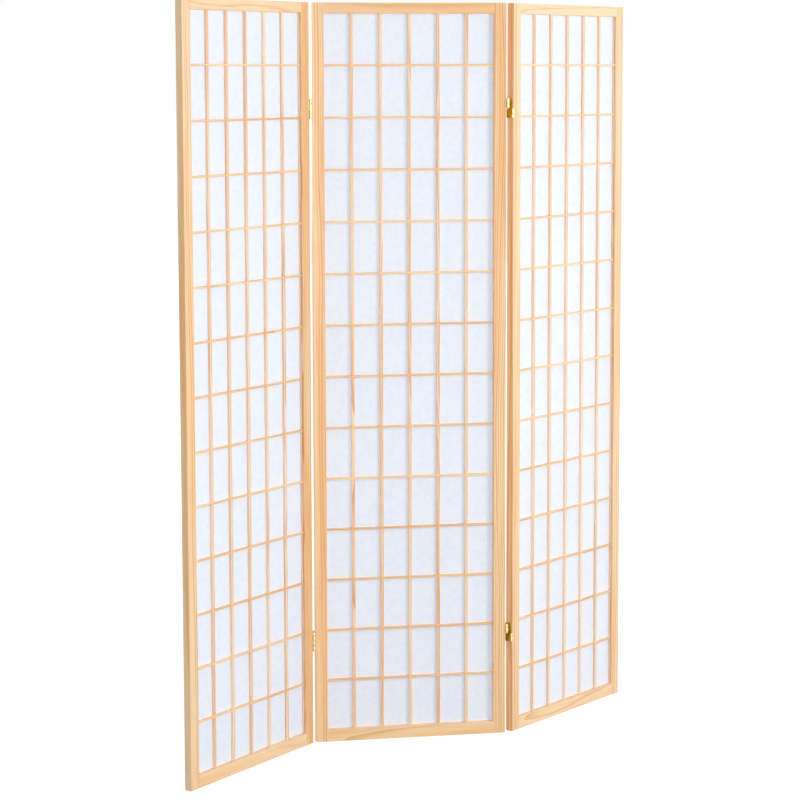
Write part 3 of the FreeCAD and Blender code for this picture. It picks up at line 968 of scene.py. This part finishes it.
def carve(piece: bpy.types.Object, cutter: bmesh.types.BMesh) -> None:
    """Cut a form out of a piece, and leave the result in its mesh.

    Args:
        piece: the piece to cut.
        cutter: the form to take away, which is used up.
    """
    data = bpy.data.meshes.new("cutter")
    cutter.to_mesh(data)
    cutter.free()
    tool = bpy.data.objects.new("cutter", data)
    bpy.context.scene.collection.objects.link(tool)
    boolean = piece.modifiers.new("carve", "BOOLEAN")
    boolean.operation = "DIFFERENCE"
    boolean.solver = "EXACT"
    boolean.use_self = True
    boolean.object = tool
    bpy.context.view_layer.update()
    cut = bpy.data.meshes.new_from_object(
        piece.evaluated_get(bpy.context.evaluated_depsgraph_get()))
    piece.modifiers.remove(boolean)
    old = piece.data
    piece.data = cut
    cut.name = old.name
    bpy.data.meshes.remove(old)
    bpy.data.objects.remove(tool)
    bpy.data.meshes.remove(data)


# ---------------------------------------------------------------------------
# Sub-assemblies
# ---------------------------------------------------------------------------
class Sawing(Enum):
    """Where in the log a board was sawn: pith across and below its face, and its slant."""

    RIFT = ((0.030, 0.090), (0.020, 0.060), 0.009)
    PLAIN = ((-0.014, 0.014), (0.025, 0.055), 0.024)
    STICK = ((0.020, 0.120), (0.020, 0.120), 0.008)


@dataclass
class Timber:
    """Marks each board of a wooden workpiece with its own place in the log."""

    turn: Matrix
    sawing: Sawing
    seed: str
    # The panel's painted light level, about which the boards differ at random.
    painted_light_middle: float
    tone_spread: float = 0.28
    log_length: float = 9.0
    along_grain: float = 0.999

    def lengthways(self, solid: list[bmesh.types.BMVert]) -> tuple[Vector, Vector, int]:
        """Find how a board lies.

        Args:
            solid: the board's vertices.

        Returns:
            Its lowest and highest corner as the panel lies, and the axis along its grain.
        """
        low, high = corners([self.turn @ vertex.co for vertex in solid])
        reach = high - low
        return low, high, max(range(3), key=lambda axis: reach[axis])

    def arrises(self, work: Workpiece, angle: float) -> list[bmesh.types.BMEdge]:
        """Find the edges that run along the grain and stand out.

        Args:
            work: the wooden workpiece.
            angle: how much an edge has to stand out.

        Returns:
            The edges.
        """
        grain = {}
        for solid in work.solids():
            axis = self.lengthways(solid)[2]
            grain.update((vertex, axis) for vertex in solid)
        found = []
        for edge in work.sharp_edges(angle):
            run = (self.turn @ (edge.verts[1].co - edge.verts[0].co)).normalized()
            if abs(run[grain[edge.verts[0]]]) > self.along_grain:
                found.append(edge)
        return found

    def mark(self, work: Workpiece) -> None:
        """Store each board's place in the log, and on its vertices how pale or dark it is: a
        random difference between boards about its panel's painted light level.

        Args:
            work: the wooden workpiece.
        """
        dice = random.Random(self.seed)
        board = work.mesh.verts.layers.float_vector.new(BOARD_ATTRIBUTE)
        tone = work.mesh.verts.layers.float.new(TONE_AND_LIGHT_ATTRIBUTE)
        across_range, depth_range, slant = self.sawing.value
        for solid in work.solids():
            low, high, grain = self.lengthways(solid)
            across = WIDE if grain == HIGH else HIGH
            middle = (low + high) / 2
            pith_across = dice.uniform(*across_range) * dice.choice((-1, 1))
            pith_depth = dice.uniform(*depth_range) * dice.choice((-1, 1))
            slant_across, slant_depth = dice.uniform(-slant, slant), dice.uniform(-slant, slant)
            start = dice.uniform(0.0, self.log_length)
            # Painted light: each board's value is its panel's painted light level plus a random
            # board difference.
            shade = self.painted_light_middle + dice.uniform(-self.tone_spread, self.tone_spread)
            for vertex in solid:
                place = self.turn @ vertex.co - middle
                along = place[grain]
                vertex[board] = Vector((
                    place[across] + pith_across + along * slant_across,
                    place[THICK] + pith_depth + along * slant_depth,
                    along + start))
                vertex[tone] = shade


@dataclass
class LatticePanel:
    """One panel: frame, half-lapped lattice, paper and the beads behind it."""

    side: str
    turn_angle: float
    # How pale this panel's boards are painted for the light that falls on it: painted light.
    tone: float
    frame_arris: float = 0.0005
    bar_arris: float = 0.00035
    bead_arris: float = 0.0006
    arris_segments: int = 2
    paper_give: float = 0.0004
    pane_steps: tuple[int, int] = (6, 8)
    uprights: list[float] = field(default_factory=list)
    crosses: list[float] = field(default_factory=list)

    @property
    def body(self) -> str:
        """The body that carries this panel."""
        return self.side + "_panel"

    @property
    def to_panel(self) -> Matrix:
        """Turns a place on the object into the panel's own directions."""
        return Matrix.Rotation(-self.turn_angle, 3, "Z")

    def build(self, nodes: Nodes, finishes: Finishes) -> None:
        """Make and dress every piece of the panel.

        Args:
            nodes: the frame's nodes.
            finishes: the materials.
        """
        for part, slot, material, sawing, arris in (
                ("left_stile", "stile_pine", finishes.stile, Sawing.RIFT, self.frame_arris),
                ("right_stile", "stile_pine", finishes.stile, Sawing.RIFT, self.frame_arris),
                ("top_rail", "rail_pine", finishes.rail, Sawing.PLAIN, self.frame_arris),
                ("bottom_rail", "rail_pine", finishes.rail, Sawing.PLAIN, self.frame_arris)):
            self.dress(nodes, part, material, sawing, arris)
        uprights = self.dress(nodes, "upright_bars", finishes.upright,
                              Sawing.STICK, self.bar_arris)
        crosses = self.dress(nodes, "cross_bars", finishes.cross,
                             Sawing.STICK, self.bar_arris)
        self.uprights = [middle.x for middle in sorted(uprights, key=lambda m: m.x)]
        self.crosses = [middle.z for middle in sorted(crosses, key=lambda m: m.z)]
        for side in ("left", "right", "top", "bottom"):
            self.dress(nodes, side + "_bead", finishes.bead, Sawing.RIFT,
                       self.bead_arris)
        self.stretch_paper(nodes, finishes.paper)

    def dress(self, nodes: Nodes, part: str, material: bpy.types.Material,
              sawing: Sawing, arris: float) -> list[Vector]:
        """Make the eased and grained copy of one wooden node.

        Args:
            nodes: the frame's nodes.
            part: the node's name without the panel's.
            material: its finish.
            sawing: how its boards were sawn.
            arris: how wide its long edges are broken.

        Returns:
            The middle of each of its boards, in the panel's own directions.
        """
        node = "%s_%s" % (self.body, part)
        work = Workpiece.copy_of(nodes[node])
        timber = Timber(self.to_panel, sawing, node, self.tone)
        work.break_edges(timber.arrises(work, ARRIS_ANGLE), arris, self.arris_segments)
        timber.mark(work)
        boxes = [timber.lengthways(solid) for solid in work.solids()]
        piece = work.finish(node + "_eased", material, Shading.FLAT)
        seat(piece, node, self.body)
        return [(low + high) / 2 for low, high, _ in boxes]

    def stretch_paper(self, nodes: Nodes, material: bpy.types.Material) -> None:
        """Make the paper: glued flat on every bar, giving back a little in each pane.

        Args:
            nodes: the frame's nodes.
            material: the paper's finish.
        """
        node = self.body + "_paper"
        low, high = corners([self.to_panel @ vertex.co for vertex in nodes[node].data.vertices])
        mesh = bmesh.new()
        bmesh.ops.create_grid(
            mesh, size=GRID_REACH,
            x_segments=(len(self.uprights) - 1) * self.pane_steps[0],
            y_segments=(len(self.crosses) - 1) * self.pane_steps[1])
        for vertex in mesh.verts:
            column = self.spread(vertex.co.x + GRID_REACH, self.uprights, (low.x, high.x))
            row = self.spread(vertex.co.y + GRID_REACH, self.crosses, (low.z, high.z))
            give = self.paper_give * column[1] * row[1]
            vertex.co = Vector((column[0], low.y + give, row[0]))
        thick = bmesh.ops.extrude_face_region(mesh, geom=mesh.faces[:])
        moved = [item for item in thick["geom"] if isinstance(item, bmesh.types.BMVert)]
        bmesh.ops.translate(mesh, verts=moved, vec=(0.0, high.y - low.y, 0.0))
        bmesh.ops.recalc_face_normals(mesh, faces=mesh.faces)
        bmesh.ops.transform(mesh, matrix=self.to_panel.inverted().to_4x4(), verts=mesh.verts)
        piece = Workpiece(mesh).finish(node + "_sheet", material, Shading.ROUND)
        seat(piece, node, self.body)

    @staticmethod
    def spread(share: float, bars: list[float], ends: tuple[float, float]) -> tuple[float, float]:
        """Place a grid line between the bars.

        Args:
            share: the line's place on the even grid, 0 to 1.
            bars: the middles of the bars.
            ends: the sheet's two edges, which the first and last line reach.

        Returns:
            The line's place and how far into its pane it is, 0 on a bar and 1 mid-pane.
        """
        panes = len(bars) - 1
        pane = min(int(share * panes + GRID_ROUNDING), panes - 1)
        within = share * panes - pane
        stops = [ends[0], *bars[1:-1], ends[1]]
        place = stops[pane] + (stops[pane + 1] - stops[pane]) * within
        return place, (1 - math.cos(2 * math.pi * within)) / 2


@dataclass
class LinkHinge:
    """One two-way hinge: two screwed leaves and two links."""

    line: str
    position: str
    outer_body: str
    inner_body: str
    broken_edge: float = 0.00014
    edge_segments: int = 2
    # Painted highlight: how pale the rolled eyes are painted for their glint.
    eye_glint: float = 0.62

    def build(self, nodes: Nodes, finishes: Finishes) -> None:
        """Make and dress the leaves and links.

        Args:
            nodes: the frame's nodes.
            finishes: the materials.
        """
        for part, body, slot, material in (
                ("outer_leaf", self.outer_body, "leaf_brass", finishes.leaf),
                ("inner_leaf", self.inner_body, "leaf_brass", finishes.leaf),
                ("lower_link", self.outer_body, "link_brass", finishes.link),
                ("upper_link", self.inner_body, "link_brass", finishes.link)):
            node = "%s_%s_hinge_%s" % (self.line, self.position, part)
            work = Workpiece.copy_of(nodes[node])
            work.break_edges(work.sharp_edges(ARRIS_ANGLE), self.broken_edge,
                             self.edge_segments)
            work.paint_eye_glint(self.eye_glint)
            piece = work.finish(node + "_pressed", material, Shading.ROUND)
            seat(piece, node, body)


@dataclass
class HingeFixings:
    """The pins and screws that one panel carries on one hinge line."""

    line: str
    owner: str
    body: str
    pin_dome: float = 0.0005
    dome_segments: int = 3
    slot_width: float = 0.0007
    slot_reach: float = 0.0019
    slot_depth: float = 0.0007
    slot_taper: float = 0.55
    slot_turn: float = math.radians(23.0)
    rim_band: float = 0.0002
    head_edge: float = 0.00015
    head_segments: int = 1

    def build(self, nodes: Nodes, finishes: Finishes) -> None:
        """Make and dress the pins and screws."""
        self.dome_pins(nodes, finishes.pin)
        self.slot_screws(nodes, finishes.screw)

    def dome_pins(self, nodes: Nodes, material: bpy.types.Material) -> None:
        """Round the ends of the pins.

        Args:
            nodes: the frame's nodes.
            material: the pins' finish.
        """
        node = "%s_hinge_%s_pins" % (self.line, self.owner)
        work = Workpiece.copy_of(nodes[node])
        work.break_edges(work.sharp_edges(ARRIS_ANGLE), self.pin_dome, self.dome_segments)
        piece = work.finish(node + "_domed", material, Shading.ROUND)
        seat(piece, node, self.body)

    def slot_screws(self, nodes: Nodes, material: bpy.types.Material) -> None:
        """Cut a cross slot into each screw head.

        Args:
            nodes: the frame's nodes.
            material: the screws' finish.
        """
        node = "%s_hinge_%s_screws" % (self.line, self.owner)
        work = Workpiece.copy_of(nodes[node])
        cutter = bmesh.new()
        for solid in work.solids():
            head, outward = self.head_of(solid)
            for turn in (0.0, math.pi / 2):
                self.add_blade(cutter, head, outward, turn)
        work.break_edges(work.sharp_edges(ARRIS_ANGLE), self.head_edge, self.head_segments)
        piece = work.finish(node + "_slotted", material, Shading.ROUND)
        carve(piece, cutter)
        seat(piece, node, self.body)

    def head_of(self, solid: list[bmesh.types.BMVert]) -> tuple[Vector, Vector]:
        """Find a screw's head.

        Args:
            solid: the screw's vertices.

        Returns:
            The middle of its head and the direction it faces.
        """
        middle = sum((vertex.co for vertex in solid), Vector()) / len(solid)
        highest = max(vertex.co.z for vertex in solid)
        lowest = min(vertex.co.z for vertex in solid)
        rim = [vertex.co for vertex in solid if highest - vertex.co.z < self.rim_band]
        rim_middle = sum(rim, Vector()) / len(rim)
        head = Vector((rim_middle.x, rim_middle.y, (highest + lowest) / 2))
        return head, (head - Vector((middle.x, middle.y, head.z))).normalized()

    def add_blade(self, cutter: bmesh.types.BMesh, head: Vector, outward: Vector,
                  turn: float) -> None:
        """Add one tapered blade of a cross slot to the cutter.

        Args:
            cutter: the form to cut with.
            head: the middle of the screw's head.
            outward: the direction that the head faces.
            turn: how far the blade is turned in the head.
        """
        made = bmesh.ops.create_cube(cutter, size=1.0)["verts"]
        for vertex in made:
            inner = vertex.co.z < 0
            taper = self.slot_taper if inner else 1.0
            vertex.co = Vector((vertex.co.x * self.slot_reach * 2 * taper,
                                vertex.co.y * self.slot_width * taper,
                                -self.slot_depth if inner else self.slot_depth))
        in_head = Matrix.Rotation(turn + self.slot_turn, 3, "Z")
        for matrix in (in_head, outward.to_track_quat("Z", "Y").to_matrix()):
            bmesh.ops.rotate(cutter, verts=made, matrix=matrix)
        bmesh.ops.translate(cutter, verts=made, vec=head)


# ---------------------------------------------------------------------------
# Studio
# ---------------------------------------------------------------------------
@dataclass(frozen=True)
class SoftLamp:
    """A large rectangular lamp aimed at the middle of the screen."""

    name: str
    place: Place
    width: float
    height: float
    power: float
    colour: Colour = WHITE
    aim: Place = (0.0, 0.0, 0.85)

    def build(self) -> None:
        """Put the lamp into the scene."""
        data = bpy.data.lights.new(self.name, "AREA")
        data.shape = "RECTANGLE"
        data.size, data.size_y = self.width, self.height
        data.energy = self.power
        data.color = self.colour
        lamp = bpy.data.objects.new(self.name, data)
        bpy.context.scene.collection.objects.link(lamp)
        lamp.location = self.place
        lamp.rotation_euler = (Vector(self.aim) - Vector(self.place)).to_track_quat(
            "-Z", "Y").to_euler()


@dataclass
class Studio:
    """Pale floor, white surround and soft lamps."""

    floor_reach: float = 14.0
    floor_segments: int = 96
    floor_colour: Colour = (0.40, 0.40, 0.41)
    floor_glow: tuple[float, float] = (0.78, 1.0)
    glow_from: tuple[float, float] = (1.5, 6.0)
    surround_light: Colour = (0.46, 0.455, 0.485)
    lamps: tuple[SoftLamp, ...] = (
        SoftLamp("key", (3.1, -2.5, 1.7), 1.4, 2.0, 62.0),
        SoftLamp("side", (4.0, 0.6, 1.2), 1.4, 2.4, 19.0),
        SoftLamp("fill", (-0.4, -4.9, 1.2), 2.0, 2.4, 78.0, (0.96, 0.985, 1.05)),
        SoftLamp("back", (-1.5, 3.6, 2.2), 2.4, 2.4, 80.0),
    )

    def build(self) -> None:
        """Make the floor, the surround and the lamps."""
        self.lay_floor()
        self.light_surround()
        for lamp in self.lamps:
            lamp.build()

    @staticmethod
    def seen_background(w: Wiring) -> bpy.types.NodeSocket:
        """Find the rays that look at the background.

        Args:
            w: the wiring of the floor's or the surround's material.

        Returns:
            1 for a ray from the lens, a mirror or a glass, and 0 for any other.
        """
        rays = w.node("LightPath")
        seen = w.math("MAXIMUM", rays.outputs["Is Camera Ray"], rays.outputs["Is Glossy Ray"])
        return w.math("MAXIMUM", seen, rays.outputs["Is Transmission Ray"])

    def lay_floor(self) -> None:
        """Make a round pale floor that keeps a faint shadow of the object."""
        mesh = bmesh.new()
        bmesh.ops.create_circle(mesh, cap_ends=True, radius=self.floor_reach,
                                segments=self.floor_segments)
        data = bpy.data.meshes.new("floor")
        mesh.to_mesh(data)
        mesh.free()
        material, w, shader = new_material("pale_floor")
        w.feed(shader.inputs["Base Color"], self.floor_colour)
        shader.inputs["Roughness"].default_value = 1.0
        shader.inputs["Specular IOR Level"].default_value = 0.0
        w.feed(shader.inputs["Emission Color"], WHITE)
        distance = w.vector("LENGTH", w.node("TexCoord").outputs["Object"])
        far = w.band(distance, *self.glow_from, *self.floor_glow)
        glow = w.math("MULTIPLY", self.seen_background(w), far)
        w.feed(shader.inputs["Emission Strength"], glow)
        data.materials.append(material)
        floor = bpy.data.objects.new("floor", data)
        bpy.context.scene.collection.objects.link(floor)

    def light_surround(self) -> None:
        """Make the surround white where it is seen and softer where it lights."""
        world = bpy.data.worlds.new("surround")
        bpy.context.scene.world = world
        world.use_nodes = True
        w = Wiring(world.node_tree)
        background = world.node_tree.nodes["Background"]
        w.feed(background.inputs["Color"],
               w.mix(self.seen_background(w), self.surround_light, WHITE))


@dataclass
class PhotoCamera:
    """The camera where the photographer stood, fitted to the panel edges and bars."""

    place: Place = (-0.95600, -5.27518, 1.53558)
    yaw: float = -10.0345
    pitch: float = -6.3156
    roll: float = -0.1471
    focal_pixels: float = 2349.76
    centre_row: float = 336.0
    sensor: float = 36.0

    def build(self) -> None:
        """Put the camera into the scene."""
        yaw, pitch, roll = (math.radians(a) for a in (self.yaw, self.pitch, self.roll))
        right = Vector((math.cos(yaw), math.sin(yaw), 0.0))
        level = Vector((-math.sin(yaw), math.cos(yaw), 0.0))
        upright = Vector((0.0, 0.0, 1.0))
        forward = level * math.cos(pitch) + upright * math.sin(pitch)
        upward = upright * math.cos(pitch) - level * math.sin(pitch)
        rolled_right = right * math.cos(roll) + upward * math.sin(roll)
        rolled_up = upward * math.cos(roll) - right * math.sin(roll)
        data = bpy.data.cameras.new("photo_camera")
        data.sensor_width = self.sensor
        data.lens = self.focal_pixels / PHOTO_PIXELS * self.sensor
        data.shift_y = (self.centre_row - PHOTO_PIXELS / 2) / PHOTO_PIXELS
        camera = bpy.data.objects.new("photo_camera", data)
        bpy.context.scene.collection.objects.link(camera)
        turn = Matrix((rolled_right, rolled_up, -forward)).transposed()
        camera.matrix_world = Matrix.Translation(self.place) @ turn.to_4x4()
        bpy.context.scene.camera = camera


def panel_turns(joints: list[dict]) -> dict[str, float]:
    """Find how far each panel is turned at rest: back from flat, where its joint starts.

    Args:
        joints: the frame's joints.

    Returns:
        The turn of each panel's body, in radians.
    """
    turns = {"middle_panel": 0.0}
    for joint in joints:
        turns[joint["child"]] = -math.radians(joint["range_deg"][0])
    return turns


def main() -> None:
    """Dress the frame and build the studio."""
    logging.basicConfig(level=logging.INFO, format="%(name)s: %(message)s")
    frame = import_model()
    bpy.context.scene.view_settings.view_transform = "Standard"
    PhotoCamera().build()
    Studio().build()
    finishes = Finishes.build()
    turns = panel_turns(frame["joints"])
    for side, tone in PANEL_PAINTED_LIGHT.items():
        LatticePanel(side, turns[side + "_panel"], tone).build(frame["nodes"], finishes)
    for line in ("left", "right"):
        outer, inner = line + "_panel", "middle_panel"
        for position in ("bottom", "top"):
            LinkHinge(line, position, outer, inner).build(frame["nodes"], finishes)
        for owner, body in (("outer", outer), ("inner", inner)):
            HingeFixings(line, owner, body).build(frame["nodes"], finishes)


if __name__ == "__main__":
    main()
